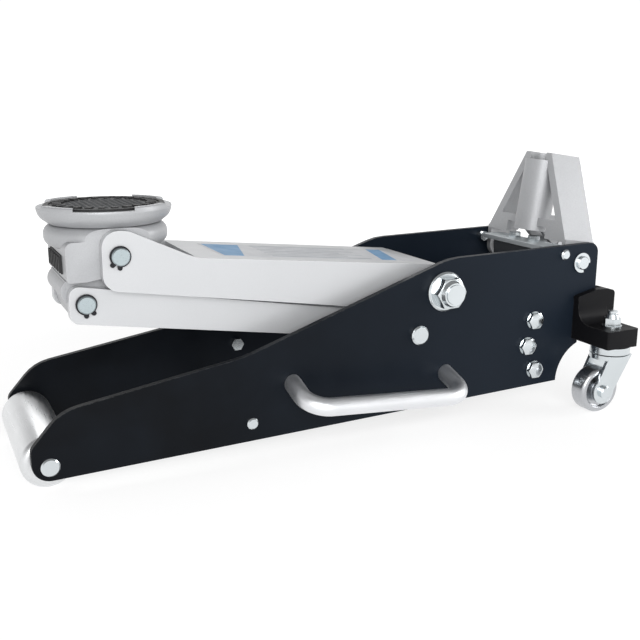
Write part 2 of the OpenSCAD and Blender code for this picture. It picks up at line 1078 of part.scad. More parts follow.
module cross_plate_bolts() {
    color("#cfd3d6")
        placed()
            for (s = [-1, 1])
                translate([shelf_bolt_x, s * shelf_bolt_y, shelf_z]) {
                    translate([0, 0, -11])
                        cylinder(r = shelf_bolt_r, h = 11 + shelf_t + eps);
                    translate([0, 0, shelf_t])
                        cylinder(d = 10 / cos(30), h = 4.5, $fn = 6);
                }
}

module pump_barrel() {
    color("#b9bcc0")
        placed()
            translate([cam_at[0], 0, barrel_low])
                difference() {
                    cylinder(r = barrel_r, h = barrel_top - barrel_low);
                    translate([0, 0, barrel_floor])
                        cylinder(r = pump_r + run, h = barrel_top);
                }
}

module pump_piston() {
    cap_t = 3.5;
    piston_low = barrel_low + barrel_floor + pump_stroke + 1;
    color("#dfe2e5")
        placed()
            translate([cam_at[0], 0, 0])
                union() {
                    translate([0, 0, piston_low])
                        cylinder(r = pump_r, h = pump_top - piston_low - 1);
                    translate([0, 0, pump_top - cap_t])
                        cylinder(r = pump_cap_r, h = cap_t);
                }
}

// The spring that lifts the pump piston, as turns of round wire
module piston_spring() {
    wire_r = 0.9;
    coil_r = pump_cap_r - wire_r - 0.4;
    turns = 4;
    low = barrel_top + wire_r + 0.2;
    high = pump_top - 3.5 - wire_r;
    sides = 8;
    steps = 24;
    count = turns * steps;
    ring = [
        for (i = [0 : count])
            let (a = i * 360 / steps, z = low + (high - low) * i / count)
            [
                for (k = [0 : sides - 1])
                    let (b = k * 360 / sides, q = coil_r + wire_r * cos(b))
                    [q * cos(a), q * sin(a), z + wire_r * sin(b)]
            ]
    ];
    points = [for (c = ring) each c];
    walls = [
        for (i = [0 : count - 1], k = [0 : sides - 1])
            let (m = (k + 1) % sides)
            [i * sides + k, i * sides + m, (i + 1) * sides + m, (i + 1) * sides + k]
    ];
    ends = [
        [for (k = [0 : sides - 1]) sides - 1 - k],
        [for (k = [0 : sides - 1]) count * sides + k]
    ];
    color("#8d9094")
        placed()
            translate([cam_at[0], 0, 0])
                polyhedron(points = points, faces = concat(walls, ends));
}

module release_valve() {
    back_x = rear_x - 3;
    color("#b9bcc0")
        placed()
            translate([back_x - 20, valve_y, valve_z])
                rotate([0, 90, 0])
                    union() {
                        cylinder(r = 4, h = 21.5);
                        translate([0, 0, 20.5])
                            cylinder(d = 10 / cos(30), h = 2.3, $fn = 6);
                    }
}

module filler_plug() {
    color("#1d1e21")
        placed()
            translate([filler_x, 0, block_top])
                union() {
                    translate([0, 0, -5])
                        cylinder(r = 4, h = 5 + eps);
                    cylinder(r1 = 7, r2 = 6, h = 4);
                }
}

/* Handle socket */

// The socket's pivot and its leaning axes
module leaning() {
    translate([socket_at[0], 0, socket_at[1]])
        rotate([0, socket_lean, 0])
            children();
}

// An outline of [y, z] points made solid from x0 to x1
module front_slab(x0, x1) {
    translate([x0, 0, 0])
        rotate([90, 0, 90])
            linear_extrude(x1 - x0)
                children();
}

module socket_outline(inset) {
    low = socket_half(socket_low) - inset;
    top = socket_half(socket_len) - inset;
    polygon([
        [-low, socket_low],
        [low, socket_low],
        [top, socket_len],
        [-top, socket_len]
    ]);
}

module socket_windows() {
    low_z = socket_low + 17;
    inner = tube_r - 2.5;
    margin = 9;
    slant = (socket_half(socket_low) - socket_half(socket_len)) / (socket_len - socket_low);
    outer = socket_half(low_z) - margin;
    top_z = low_z + (outer - inner - 3) / slant;
    for (s = [-1, 1])
        scale([s, 1])
            polygon([[inner, low_z], [outer, low_z], [inner + 3, top_z], [inner, top_z]]);
}

module ear_outline() {
    polygon([
        [-ear_r, 0],
        [socket_front, socket_low + 3],
        [socket_front + socket_depth, socket_low + 3],
        [ear_r, 0]
    ]);
    circle(ear_r);
}

module handle_socket() {
    cut_half = 28;
    cut_h = 10;
    lug_y = 9.5;
    lug_t = 4.6;
    cam_turn = cam_lead + socket_lean;
    cam_local = cam_arm * [cos(cam_turn), sin(cam_turn)];
    depth_end = socket_front + socket_depth;
    color("#b9bcc1")
        placed()
            difference() {
                leaning()
                    difference() {
                        union() {
                            front_slab(socket_front, socket_front + socket_wall)
                                difference() {
                                    socket_outline(0);
                                    socket_windows();
                                    translate([-cut_half, socket_low - 1])
                                        square([2 * cut_half, cut_h + 1]);
                                }
                            front_slab(socket_front + socket_wall - eps, depth_end)
                                difference() {
                                    socket_outline(0);
                                    socket_outline(1.13 * socket_wall);
                                }
                            both_sides()
                                slab(ear_y - 5.2, ear_y)
                                    ear_outline();
                            translate([tube_x, 0, tube_floor - 4])
                                cylinder(r = tube_r, h = socket_len - tube_floor + 4);
                            both_sides()
                                slab(lug_y, lug_y + lug_t)
                                    polygon([
                                        cam_local + [5, -3.5],
                                        cam_local + [5, 4],
                                        [depth_end - 3, tube_floor + 12],
                                        [tube_x, tube_floor + 12],
                                        [tube_x, tube_floor - 2],
                                        cam_local + [-5, -3.5]
                                    ]);
                        }
                        translate([tube_x, 0, tube_floor])
                            cylinder(d = rod_bore_d, h = socket_len);
                        translate([socket_front - 20, -tube_r - 1, tube_top])
                            cube([20, 2 * tube_r + 2, 20]);
                        bar(cam_local, 3 + run, -20, 20);
                    }
                bar(socket_at, socket_pin_r + run, -inner_y, inner_y);
            }
}

module cam_roller() {
    color("#9a9da1")
        placed()
            union() {
                bar(cam_at, cam_r, -8, 8);
                bar(cam_at, 3, -14.6, 14.6);
            }
}

module socket_pins() {
    end_y = half_w + 4;
    color("#cfd3d6")
        placed()
            both_sides()
                difference() {
                    head(socket_at, socket_pin_r, ear_y - 8, end_y, 0.8);
                    difference() {
                        bar(socket_at, socket_pin_r + 1, half_w + 0.4, half_w + 0.4 + clip_t + fit);
                        bar(socket_at, socket_pin_r - 0.8, half_w, half_w + 3);
                    }
                }
}

// An open ring without lugs, seated in the pin's groove
module socket_clips() {
    ring_r = 8.8;
    gap_turn = 35;
    color("#d8dcdf")
        placed()
            both_sides()
                translate([socket_at[0], half_w + 0.45, socket_at[1]])
                    rotate([0, 40, 0])
                        rotate([-90, 0, 0])
                            linear_extrude(clip_t)
                                difference() {
                                    circle(ring_r);
                                    circle(socket_pin_r - 0.75);
                                    polygon([
                                        [0, 0],
                                        2 * ring_r * [cos(gap_turn), sin(gap_turn)],
                                        2 * ring_r * [cos(gap_turn), -sin(gap_turn)]
                                    ]);
                                }
}

module stop_screws() {
    color("#cfd3d6")
        placed()
            both_sides()
                union() {
                    head(stop_at, 4.6, half_w, half_w + 3, 1.2);
                    bar(stop_at, stop_r, inner_y - 1, half_w + eps);
                    bar(stop_at, 4.6, ear_y - 5, inner_y - fit);
                }
}

/* Casters */

// One bracket: an inner leg, a web that passes behind the side plate, and an outboard block
module caster_bracket() {
    web_top = 102;
    web_out = half_w + 7;
    web_front = base_len - 25;
    knee = 13;
    passage = base_len - leg_over + 1.5;
    block_x0 = caster_x - arm_block_r;
    block_x1 = caster_x + arm_block_r;
    block_out = caster_y + arm_block_r - 2;
    stem_at = [caster_x, caster_y];
    color("#141518")
        placed()
            difference() {
                union() {
                    slab(inner_y - leg_t, inner_y - fit)
                        polygon(rounded([
                            [block_front + 4, 28, 6],
                            [base_len - 50, 24, 6],
                            [base_len - 22, shelf_low, 8],
                            [rear_x, shelf_low, 4],
                            [rear_x, web_top, 10],
                            [base_len - 40, web_top, 8],
                            [block_front + 4, 92, 8]
                        ]));
                    slab(inner_y - leg_t, web_out)
                        polygon(rounded([
                            [passage, shelf_low, 0],
                            [rear_x, shelf_low, 4],
                            [rear_x, notch_z + 3, 4],
                            [base_len + 0.4, notch_z + 3, 0],
                            [passage, notch_z - 1, 0]
                        ]));
                    slab(half_w + 0.3, web_out)
                        polygon(rounded([
                            [web_front, web_top - 5, 2],
                            [web_front + 8, shelf_low, 0],
                            [rear_x, shelf_low, 4],
                            [rear_x, web_top, 10],
                            [rear_x - 20, web_top, 0]
                        ]));
                    front_slab(block_x0, rear_x - 9)
                        polygon(rounded([
                            [half_w + 0.3, shelf_low, 0],
                            [web_out + knee + 2, shelf_low, 0],
                            [web_out + knee + 2, shelf_low + arm_block_t, 0],
                            [web_out, shelf_low + arm_block_t, knee],
                            [web_out, web_top - 8, 0],
                            [half_w + 0.3, web_top - 8, 0]
                        ]));
                    translate([0, 0, shelf_low])
                        linear_extrude(arm_block_t)
                            polygon(rounded([
                                [block_x0, half_w + 0.3, 0],
                                [block_x1 + 5, half_w + 0.3, 0],
                                [block_x1, half_w + 14, 0],
                                [block_x1, block_out, 2],
                                [block_x0, block_out, 2]
                            ]));
                }
                for (p = block_bolts_at)
                    bar(p, block_bolt_r + fit, inner_y - leg_t - 1, inner_y + 1);
                translate([stem_at[0], stem_at[1], shelf_low - 1])
                    cylinder(r = stem_r + 0.05, h = arm_block_t + 2);
            }
}

module right_caster_bracket() {
    caster_bracket();
}

module left_caster_bracket() {
    mirrored()
        caster_bracket();
}

module caster_stems() {
    washer_t = 1.2;
    color("#cfd3d6")
        placed()
            both_sides()
                translate([caster_x, caster_y, 0])
                    union() {
                        translate([0, 0, crown_top + 0.3])
                            cylinder(r = stem_r, h = shelf_low + arm_block_t + 14 - crown_top);
                        translate([0, 0, shelf_low - race_h])
                            cylinder(r = race_r, h = race_h - 0.05);
                        translate([0, 0, crown_top - crown_h - washer_t - 2])
                            cylinder(r = 3, h = crown_h + washer_t + 3);
                        translate([0, 0, crown_top - crown_h - washer_t - 2.5])
                            cylinder(r = 5.5, h = 2.2);
                    }
}

module stem_nuts() {
    base_z = shelf_low + arm_block_t;
    color("#d9dcdf")
        placed()
            both_sides()
                translate([caster_x, caster_y, base_z])
                    difference() {
                        union() {
                            cylinder(r = 8.5, h = 1.5);
                            translate([0, 0, 1.4])
                                cylinder(d = 13 / cos(30), h = 6.6, $fn = 6);
                            translate([0, 0, 7.9])
                                cylinder(r1 = 6, r2 = 5, h = 3);
                        }
                        translate([0, 0, -1])
                            cylinder(r = stem_r + 0.05, h = 14);
                    }
}

// A caster fork: a round crown under the race and two tapering legs that trail forward
module caster_fork() {
    wheel_x = caster_x - trail;
    eye_r = 11;
    translate([caster_x, caster_y, crown_top - crown_h])
        difference() {
            cylinder(r = race_r, h = crown_h);
            translate([0, 0, -1])
                cylinder(r = 3 + run, h = crown_h + 2);
        }
    difference() {
        for (s = [-1, 1])
            translate([0, caster_y + s * (fork_in + fork_t / 2), 0])
                slab(-fork_t / 2, fork_t / 2) {
                    polygon([
                        [caster_x - 11, crown_top - 0.5],
                        [caster_x + 14.5, crown_top - 0.5],
                        [wheel_x + eye_r - 0.5, wheel_r - 1],
                        [wheel_x - eye_r + 0.5, wheel_r + 1]
                    ]);
                    circle_at([wheel_x, wheel_r], eye_r);
                }
        bar([wheel_x, wheel_r], 3 + 0.05, caster_y - 30, caster_y + 30);
    }
}

module right_fork() {
    color("#b9bec4")
        placed()
            caster_fork();
}

module left_fork() {
    color("#b9bec4")
        placed()
            mirrored()
                caster_fork();
}

module wheel_axle() {
    at = [caster_x - trail, wheel_r];
    side_y = fork_in + fork_t;
    union() {
        bar(at, 3, caster_y - side_y - eps, caster_y + side_y + eps);
        head(at, 5.5, caster_y + side_y, caster_y + side_y + 3.5, 1);
        bar(at, 5.5, caster_y - side_y - 3, caster_y - side_y);
    }
}

module right_wheel_axle() {
    color("#cfd3d6")
        placed()
            wheel_axle();
}

module left_wheel_axle() {
    color("#cfd3d6")
        placed()
            mirrored()
                wheel_axle();
}

module caster_wheel() {
    hub_w = wheel_w / 2 + 0.6;
    half = wheel_w / 2;
    translate([caster_x - trail, caster_y, wheel_r])
        rotate([-90, 0, 0])
            rotate_extrude()
                polygon(rounded([
                    [3 + run, -hub_w, 0],
                    [7, -hub_w, 0],
                    [7, -half + 3, 2],
                    [wheel_r - 5, -half + 3, 2],
                    [wheel_r - 5, -half, 1],
                    [wheel_r, -half, 3],
                    [wheel_r, half, 3],
                    [wheel_r - 5, half, 1],
                    [wheel_r - 5, half - 3, 2],
                    [7, half - 3, 2],
                    [7, hub_w, 0],
                    [3 + run, hub_w, 0]
                ]));
}

module right_wheel() {
    color("#aeb3b8")
        placed()
            caster_wheel();
}

module left_wheel() {
    color("#aeb3b8")
        placed()
            mirrored()
                caster_wheel();
}

left_side_plate();
right_side_plate();
front_roller();
roller_bushes();
front_axle();
tie_rod();
tie_rod_screws();
left_handle();
right_handle();
handle_bolts();
arm_shaft();
flange_nuts();
pivot_spacers();
link_bolts();
link_bolt_nuts();
lift_arm();
arm_bushes();
lever_pin();
upper_pin();
upper_clips();
left_link();
right_link();
lower_pin();
lower_clips();
saddle_bracket();
bracket_bumper();
saddle_screw();
saddle_cup();
saddle_pad();
pump_block();
bridge_post();
block_bolts();
ram_cylinder();
gland_nut();
ram();
cross_plate();
cross_plate_bolts();
pump_barrel();
pump_piston();
piston_spring();
release_valve();
filler_plug();
handle_socket();
cam_roller();
socket_pins();
socket_clips();
stop_screws();
left_caster_bracket();
right_caster_bracket();
caster_stems();
stem_nuts();
left_fork();
right_fork();
left_wheel_axle();
right_wheel_axle();
left_wheel();
right_wheel();
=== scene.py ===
"""The looks of a low-profile trolley jack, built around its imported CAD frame."""

import json
import math

import bmesh
import bpy
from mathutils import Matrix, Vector


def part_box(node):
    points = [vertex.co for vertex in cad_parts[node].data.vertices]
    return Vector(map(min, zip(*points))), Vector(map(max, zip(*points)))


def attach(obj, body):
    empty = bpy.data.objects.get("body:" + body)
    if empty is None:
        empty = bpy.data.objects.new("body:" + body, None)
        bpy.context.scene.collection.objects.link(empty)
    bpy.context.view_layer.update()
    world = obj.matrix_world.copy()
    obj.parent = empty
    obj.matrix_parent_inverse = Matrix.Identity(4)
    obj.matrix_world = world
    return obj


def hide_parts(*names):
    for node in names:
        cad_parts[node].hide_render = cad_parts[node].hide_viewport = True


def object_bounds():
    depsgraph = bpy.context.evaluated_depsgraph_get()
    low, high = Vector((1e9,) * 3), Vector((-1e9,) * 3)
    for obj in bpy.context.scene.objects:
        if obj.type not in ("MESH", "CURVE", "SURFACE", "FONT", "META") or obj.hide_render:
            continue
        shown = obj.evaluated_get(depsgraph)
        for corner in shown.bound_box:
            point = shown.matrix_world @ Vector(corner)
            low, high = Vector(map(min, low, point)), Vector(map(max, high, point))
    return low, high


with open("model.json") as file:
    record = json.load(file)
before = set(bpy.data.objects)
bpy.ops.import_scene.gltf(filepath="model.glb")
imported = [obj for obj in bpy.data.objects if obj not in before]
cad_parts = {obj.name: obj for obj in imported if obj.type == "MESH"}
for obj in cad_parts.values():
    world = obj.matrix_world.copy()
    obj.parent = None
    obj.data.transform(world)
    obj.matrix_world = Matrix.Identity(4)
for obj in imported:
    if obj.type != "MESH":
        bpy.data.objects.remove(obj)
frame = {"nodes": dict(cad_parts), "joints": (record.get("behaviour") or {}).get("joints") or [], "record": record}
cad_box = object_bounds()

MM = 0.001
RECORD = frame["record"]
SLOTS = {part["node"]: part["material_slot"] for part in RECORD["subparts"]}
BODIES = {node: body for body, nodes in RECORD["behaviour"]["bodies"].items() for node in nodes}
JOINTS = {joint["name"]: joint for joint in frame["joints"]}


# Materials


class Shader:
    """A node tree with a Principled shader, and short calls that add texture nodes to it."""

    def __init__(self, name, **sockets):
        self.material = bpy.data.materials.new(name)
        self.material.use_nodes = True
        self.tree = self.material.node_tree
        self.bsdf = self.tree.nodes["Principled BSDF"]
        for key, value in sockets.items():
            self.bsdf.inputs[key.replace("_", " ").title().replace("Ior", "IOR")].default_value = value

    def node(self, kind, **settings):
        made = self.tree.nodes.new(kind)
        for key, value in settings.items():
            setattr(made, key, value)
        return made

    def link(self, output, socket):
        self.tree.links.new(output, socket)

    def place(self, stretch=(1, 1, 1)):
        """Object coordinates in metres, stretched along each axis."""
        coords = self.node("ShaderNodeTexCoord").outputs["Object"]
        mapping = self.node("ShaderNodeMapping")
        mapping.inputs["Scale"].default_value = stretch
        self.link(coords, mapping.inputs["Vector"])
        return mapping.outputs["Vector"]

    def noise(self, scale, detail=3.0, rough=0.5, stretch=(1, 1, 1)):
        made = self.node("ShaderNodeTexNoise")
        made.inputs["Scale"].default_value = scale
        made.inputs["Detail"].default_value = detail
        made.inputs["Roughness"].default_value = rough
        self.link(self.place(stretch), made.inputs["Vector"])
        return made.outputs["Fac"]

    def remap(self, value, low, high, to_low, to_high):
        made = self.node("ShaderNodeMapRange")
        made.inputs["From Min"].default_value = low
        made.inputs["From Max"].default_value = high
        made.inputs["To Min"].default_value = to_low
        made.inputs["To Max"].default_value = to_high
        self.link(value, made.inputs["Value"])
        return made.outputs["Result"]

    def edges(self, radius, low=0.004, high=0.07):
        """1 along convex and concave edges, 0 on flats."""
        bevel = self.node("ShaderNodeBevel", samples=4)
        bevel.inputs["Radius"].default_value = radius
        flat = self.node("ShaderNodeNewGeometry").outputs["Normal"]
        dot = self.node("ShaderNodeVectorMath", operation="DOT_PRODUCT")
        self.link(bevel.outputs["Normal"], dot.inputs[0])
        self.link(flat, dot.inputs[1])
        return self.remap(dot.outputs["Value"], 1 - low, 1 - high, 0.0, 1.0)

    def math(self, operation, a, b):
        made = self.node("ShaderNodeMath", operation=operation)
        for socket, value in zip(made.inputs, (a, b)):
            if isinstance(value, (int, float)):
                socket.default_value = value
            else:
                self.link(value, socket)
        return made.outputs["Value"]

    def blend(self, amount, first, second):
        """A colour that goes from first to second as amount goes from 0 to 1."""
        made = self.node("ShaderNodeMix", data_type="RGBA")
        self.link(amount, made.inputs["Factor"])
        for socket, value in ((made.inputs[6], first), (made.inputs[7], second)):
            if isinstance(value, tuple):
                socket.default_value = (*value, 1.0)
            else:
                self.link(value, socket)
        return made.outputs[2]

    def colour(self, output):
        self.link(output, self.bsdf.inputs["Base Color"])

    def roughness(self, output):
        self.link(output, self.bsdf.inputs["Roughness"])

    def bump(self, height, depth, strength=1.0):
        """Adds a height field, depth metres from its lowest to its highest, over any earlier one."""
        made = self.node("ShaderNodeBump")
        made.inputs["Strength"].default_value = strength
        made.inputs["Distance"].default_value = depth
        self.link(height, made.inputs["Height"])
        normal = self.bsdf.inputs["Normal"]
        if normal.is_linked:
            self.link(normal.links[0].from_socket, made.inputs["Normal"])
        self.link(made.outputs["Normal"], normal)


def ramp_along(s, start, end):
    """0 at x = start and 1 at x = end, in metres."""
    split = s.node("ShaderNodeSeparateXYZ")
    s.link(s.node("ShaderNodeTexCoord").outputs["Object"], split.inputs["Vector"])
    return s.remap(split.outputs["X"], start, end, 0.0, 1.0)


# The coat keeps its own front tone over this length, and its rear tone, paled by a painted sheen, over this one
FRONT_TONE_LENGTH = 0.1
REAR_SHEEN_LENGTH = 0.06


def powder_coat(name, front, rear, worn, rough=0.38, specular=0.1):
    """Satin powder coat with a fine orange peel and paler edges. Its tone goes from front to rear along X; the
    paler rear tone is a painted sheen.
    """
    s = Shader(name, roughness=rough)
    s.bsdf.inputs["Specular IOR Level"].default_value = specular
    # Painted sheen: the base colour pales from the front tone to the rear tone along X
    along = ramp_along(s, cad_box[0].x + FRONT_TONE_LENGTH, cad_box[1].x - REAR_SHEEN_LENGTH)
    tone = s.blend(along, front, rear)
    mottle = s.remap(s.noise(11.0, 4.0, 0.6), 0.35, 0.7, 0.0, 0.3)
    tone = s.blend(mottle, tone, rear)
    wear = s.math("MULTIPLY", s.edges(0.0008), s.remap(s.noise(260.0), 0.4, 0.75, 0.05, 0.7))
    s.colour(s.blend(wear, tone, worn))
    s.roughness(s.remap(s.noise(45.0), 0.3, 0.7, rough - 0.04, rough + 0.06))
    s.bump(s.noise(1500.0, 2.0), 0.0001, 0.3)
    return s.material


def silver_paint(name, colour, metallic=0.3, rough=0.36, peel=0.25):
    """Silver paint: a metallic fleck, a soft peel and slightly darker, dustier patches."""
    s = Shader(name, roughness=rough, metallic=metallic)
    fleck = s.remap(s.noise(4200.0, 1.0), 0.3, 0.7, 0.0, 1.0)
    shade = s.remap(s.noise(12.0, 4.0, 0.6), 0.35, 0.75, 0.0, 0.5)
    dusty = s.blend(shade, colour, tuple(c * 0.92 for c in colour))
    bright = s.blend(fleck, dusty, tuple(min(1.0, c * 1.06) for c in colour))
    rub = s.math("MULTIPLY", s.edges(0.0007), 0.3)
    s.colour(s.blend(rub, bright, (0.85, 0.86, 0.87)))
    s.roughness(s.remap(s.noise(60.0), 0.3, 0.7, rough - 0.04, rough + 0.05))
    s.bump(s.noise(1100.0, 2.0), 0.00008, peel)
    return s.material


def cast_metal(name, colour, metallic=0.3, rough=0.42, grain=0.35):
    """A painted casting: fine sand-cast grain under the paint, a little darker in its hollows."""
    s = Shader(name, roughness=rough, metallic=metallic)
    fine = s.noise(950.0, 4.0, 0.6)
    low = s.remap(fine, 0.35, 0.6, 0.0, 1.0)
    tone = s.blend(low, tuple(c * 0.93 for c in colour), colour)
    broad = s.remap(s.noise(30.0, 3.0), 0.35, 0.7, 0.0, 0.5)
    tone = s.blend(broad, tone, tuple(c * 0.9 for c in colour))
    rub = s.math("MULTIPLY", s.edges(0.0008), 0.3)
    s.colour(s.blend(rub, tone, tuple(min(1.0, 0.15 + c) for c in colour)))
    s.roughness(s.remap(fine, 0.3, 0.7, rough + 0.06, rough - 0.04))
    s.bump(fine, 0.00018, grain)
    return s.material


def machined(name, colour, rough=0.24, along=(1, 1, 1), scratch=0.12, tint=0.95):
    """Bare or plated metal with a fine grain, which along can stretch into tool marks."""
    s = Shader(name, roughness=rough, metallic=1.0)
    marks = s.noise(1200.0, 3.0, 0.6, along)
    patch = s.remap(s.noise(35.0, 3.0), 0.35, 0.7, 0.0, 1.0)
    s.colour(s.blend(patch, colour, tuple(c * tint for c in colour)))
    s.roughness(s.remap(marks, 0.3, 0.7, rough - 0.04, rough + 0.07))
    s.bump(marks, 0.00004, scratch)
    return s.material


def rubber(name, colour, rough=0.62):
    """Moulded rubber with a fine matt grain and chalky high spots."""
    s = Shader(name, roughness=rough)
    grain = s.noise(1400.0, 3.0)
    dust = s.remap(s.noise(110.0, 4.0), 0.45, 0.75, 0.0, 0.5)
    s.colour(s.blend(dust, colour, tuple(c * 1.6 + 0.006 for c in colour)))
    s.roughness(s.remap(grain, 0.3, 0.7, rough - 0.08, rough + 0.1))
    s.bump(grain, 0.00015, 0.5)
    return s.material


def printed(name, colour, rough=0.45):
    """Ink on a vinyl label: a faint unevenness and fine scuffs."""
    s = Shader(name, roughness=rough)
    patch = s.remap(s.noise(70.0, 3.0), 0.35, 0.7, 0.0, 1.0)
    scuff = s.remap(s.noise(700.0, 4.0, 0.7), 0.62, 0.75, 0.0, 0.35)
    tone = s.blend(patch, colour, tuple(min(1.0, c * 1.12) for c in colour))
    s.colour(s.blend(scuff, tone, (0.6, 0.62, 0.64)))
    s.roughness(s.remap(s.noise(90.0), 0.3, 0.7, rough - 0.05, rough + 0.1))
    return s.material


# Stretches that turn fine noise into tool marks along Y, and along X
MARKS_ACROSS = (1, 0.04, 1)
MARKS_LENGTHWAYS = (0.04, 1, 1)

LOOKS = {
    # Each powder coat's paler rear tone is a painted sheen that grows along X
    "black_coat": powder_coat(
        "powder_black", front=(0.002, 0.0025, 0.0035), rear=(0.008, 0.0125, 0.02), worn=(0.1, 0.105, 0.11)
    ),
    "bracket_black": powder_coat(
        "bracket_black", front=(0.004, 0.004, 0.005), rear=(0.006, 0.006, 0.007), worn=(0.08, 0.08, 0.08)
    ),
    "silver_paint": silver_paint("silver_paint", (0.48, 0.488, 0.5)),
    "cast_silver": cast_metal("cast_silver", (0.37, 0.376, 0.388)),
    "polished": machined("polished", (0.74, 0.75, 0.76), 0.3, along=MARKS_ACROSS),
    "handle_satin": machined("handle_satin", (0.8, 0.81, 0.83), 0.42, along=MARKS_LENGTHWAYS, scratch=0.2),
    "zinc": machined("zinc", (0.66, 0.7, 0.72), 0.2),
    "pin_steel": machined("pin_steel", (0.42, 0.48, 0.5), 0.3),
    "zinc_satin": machined("zinc_satin", (0.78, 0.82, 0.84), 0.45),
    "steel": machined("steel", (0.5, 0.51, 0.53), 0.28),
    "hard_chrome": machined("hard_chrome", (0.8, 0.81, 0.82), 0.1, scratch=0.06),
    "spring_steel": machined("spring_steel", (0.03, 0.03, 0.033), 0.38),
    "bronze": machined("bronze", (0.5, 0.33, 0.15), 0.35),
    "black_rubber": rubber("black_rubber", (0.009, 0.009, 0.01)),
    "cast_grey": cast_metal("cast_grey", (0.035, 0.038, 0.043), metallic=0.1, rough=0.45, grain=0.6),
    "plug_black": rubber("plug_black", (0.015, 0.015, 0.015)),
}
LABEL_PAPER = printed("label_paper", (0.47, 0.48, 0.5))
LABEL_BLUE = printed("label_blue", (0.06, 0.22, 0.42))
LABEL_GREY = printed("label_grey", (0.3, 0.32, 0.35))
GRIP_GREY = rubber("grip_grey", (0.05, 0.052, 0.055), 0.7)


# Pieces


# Edges that bend by more than this are rounded and shaded sharp
SHARP_ANGLE = math.radians(32)
# A thread's edges that bend by more than this are shaded sharp
THREAD_ANGLE = math.radians(40)
# Faces that bend by less than this are joined into one flat
FLAT_ANGLE = math.radians(0.3)
MERGE_DISTANCE = 1e-6


def finish_piece(piece, node):
    """Rides the piece on the node's body."""
    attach(piece, BODIES[node])


def node_look(node):
    return LOOKS[FINISHES.get(node, SLOTS[node])]


def shade_by_angle(mesh, angle):
    """Smooth shading, with a crease at each edge that bends by more than angle."""
    mesh.polygons.foreach_set("use_smooth", [True] * len(mesh.polygons))
    mesh.set_sharp_from_angle(angle=angle)


def add_softened(node, width):
    """Stands in for the CAD node with the same shape, its sharp edges broken by a small round."""
    bm = bmesh.new()
    bm.from_mesh(frame["nodes"][node].data)
    bmesh.ops.remove_doubles(bm, verts=bm.verts, dist=MERGE_DISTANCE)
    bmesh.ops.dissolve_limit(bm, angle_limit=FLAT_ANGLE, verts=bm.verts, edges=bm.edges)
    mesh = bpy.data.meshes.new(node + "_soft")
    bm.to_mesh(mesh)
    bm.free()
    for layer in [a for a in mesh.attributes if a.name == "custom_normal"]:
        mesh.attributes.remove(layer)
    shade_by_angle(mesh, SHARP_ANGLE)
    piece = bpy.data.objects.new(node + "_soft", mesh)
    bpy.context.scene.collection.objects.link(piece)
    bevel = piece.modifiers.new("edges", "BEVEL")
    bevel.width = width
    bevel.segments = 2
    bevel.limit_method = "ANGLE"
    bevel.angle_limit = SHARP_ANGLE
    bevel.harden_normals = True
    bevel.use_clamp_overlap = True
    mesh.materials.clear()
    mesh.materials.append(node_look(node))
    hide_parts(node)
    finish_piece(piece, node)


# The round on each node's sharp edges, in millimetres
EDGE_ROUND = {
    "left_side_plate": 0.6, "right_side_plate": 0.6, "lift_arm": 0.7, "left_link": 0.7, "right_link": 0.7,
    "saddle_bracket": 1.4, "saddle_cup": 0.5, "handle_socket": 0.8, "left_caster_bracket": 1.2,
    "right_caster_bracket": 1.2, "left_fork": 0.5, "right_fork": 0.5, "pump_block": 1.2, "cross_plate": 0.4,
    "flange_nuts": 0.4, "block_bolts": 0.4, "bracket_bumper": 0.5, "bridge_post": 0.8, "saddle_pad": 0.4,
    "left_handle": 0.3, "right_handle": 0.3, "front_roller": 1.0, "left_wheel": 0.3, "right_wheel": 0.3,
}
# Nodes whose finish isn't the one of their material slot
FINISHES = {
    "left_handle": "handle_satin", "right_handle": "handle_satin", "cross_plate": "zinc_satin",
    "upper_pin": "pin_steel", "lower_pin": "pin_steel",
}


def dress_nodes():
    """Gives every CAD node its finish, on a softened copy where its edges show."""
    for node in BODIES:
        if node in EDGE_ROUND:
            add_softened(node, EDGE_ROUND[node] * MM)
        else:
            mesh = frame["nodes"][node].data
            mesh.materials.clear()
            mesh.materials.append(node_look(node))


dress_nodes()


# Details that ride on the CAD shapes


def new_piece(name, bm, material, node):
    """A piece made of bm, which rides on the node's body."""
    mesh = bpy.data.meshes.new(name)
    bmesh.ops.recalc_face_normals(bm, faces=bm.faces)
    bm.to_mesh(mesh)
    bm.free()
    mesh.materials.append(material)
    piece = bpy.data.objects.new(name, mesh)
    bpy.context.scene.collection.objects.link(piece)
    finish_piece(piece, node)
    return piece


def joint_point(name):
    return Vector(JOINTS[name]["pos_m"])


STEM_RADIUS = 4 * MM
STEM_PITCH = 1.25 * MM
RIDGE_DEPTH = 0.3 * MM
# How far the ridge's foot is sunk in the stud, and its half width as a share of the pitch
RIDGE_SINK = 0.1 * MM
RIDGE_HALF = 0.36
# The thread starts this far above the nut, and ends this far below the stud's end
THREAD_START = 0.6 * MM
THREAD_END = 0.8 * MM


def add_thread(name, node, foot, length):
    """A single-start ridge wound round a stud, from foot up along Z."""
    axis = Vector((0, 0, 1))
    side = axis.orthogonal().normalized()
    other = axis.cross(side)
    sides = 24
    steps = int(length / STEM_PITCH * sides)
    half = axis * RIDGE_HALF * STEM_PITCH
    bm = bmesh.new()
    rows = []
    for i in range(steps + 1):
        angle = 2 * math.pi * i / sides
        out = side * math.cos(angle) + other * math.sin(angle)
        middle = foot + axis * (length * i / steps)
        taper = min(1.0, i / sides, (steps - i) / sides)
        root = middle + out * (STEM_RADIUS - RIDGE_SINK)
        crest = middle + out * (STEM_RADIUS + RIDGE_DEPTH * taper)
        rows.append([bm.verts.new(point) for point in (root - half, crest, root + half)])
    for low, high in zip(rows, rows[1:]):
        for a, b in ((0, 1), (1, 2), (2, 0)):
            bm.faces.new((low[a], low[b], high[b], high[a]))
    bm.faces.new(rows[0])
    bm.faces.new(rows[-1][::-1])
    piece = new_piece(name, bm, LOOKS[SLOTS[node]], node)
    shade_by_angle(piece.data, THREAD_ANGLE)


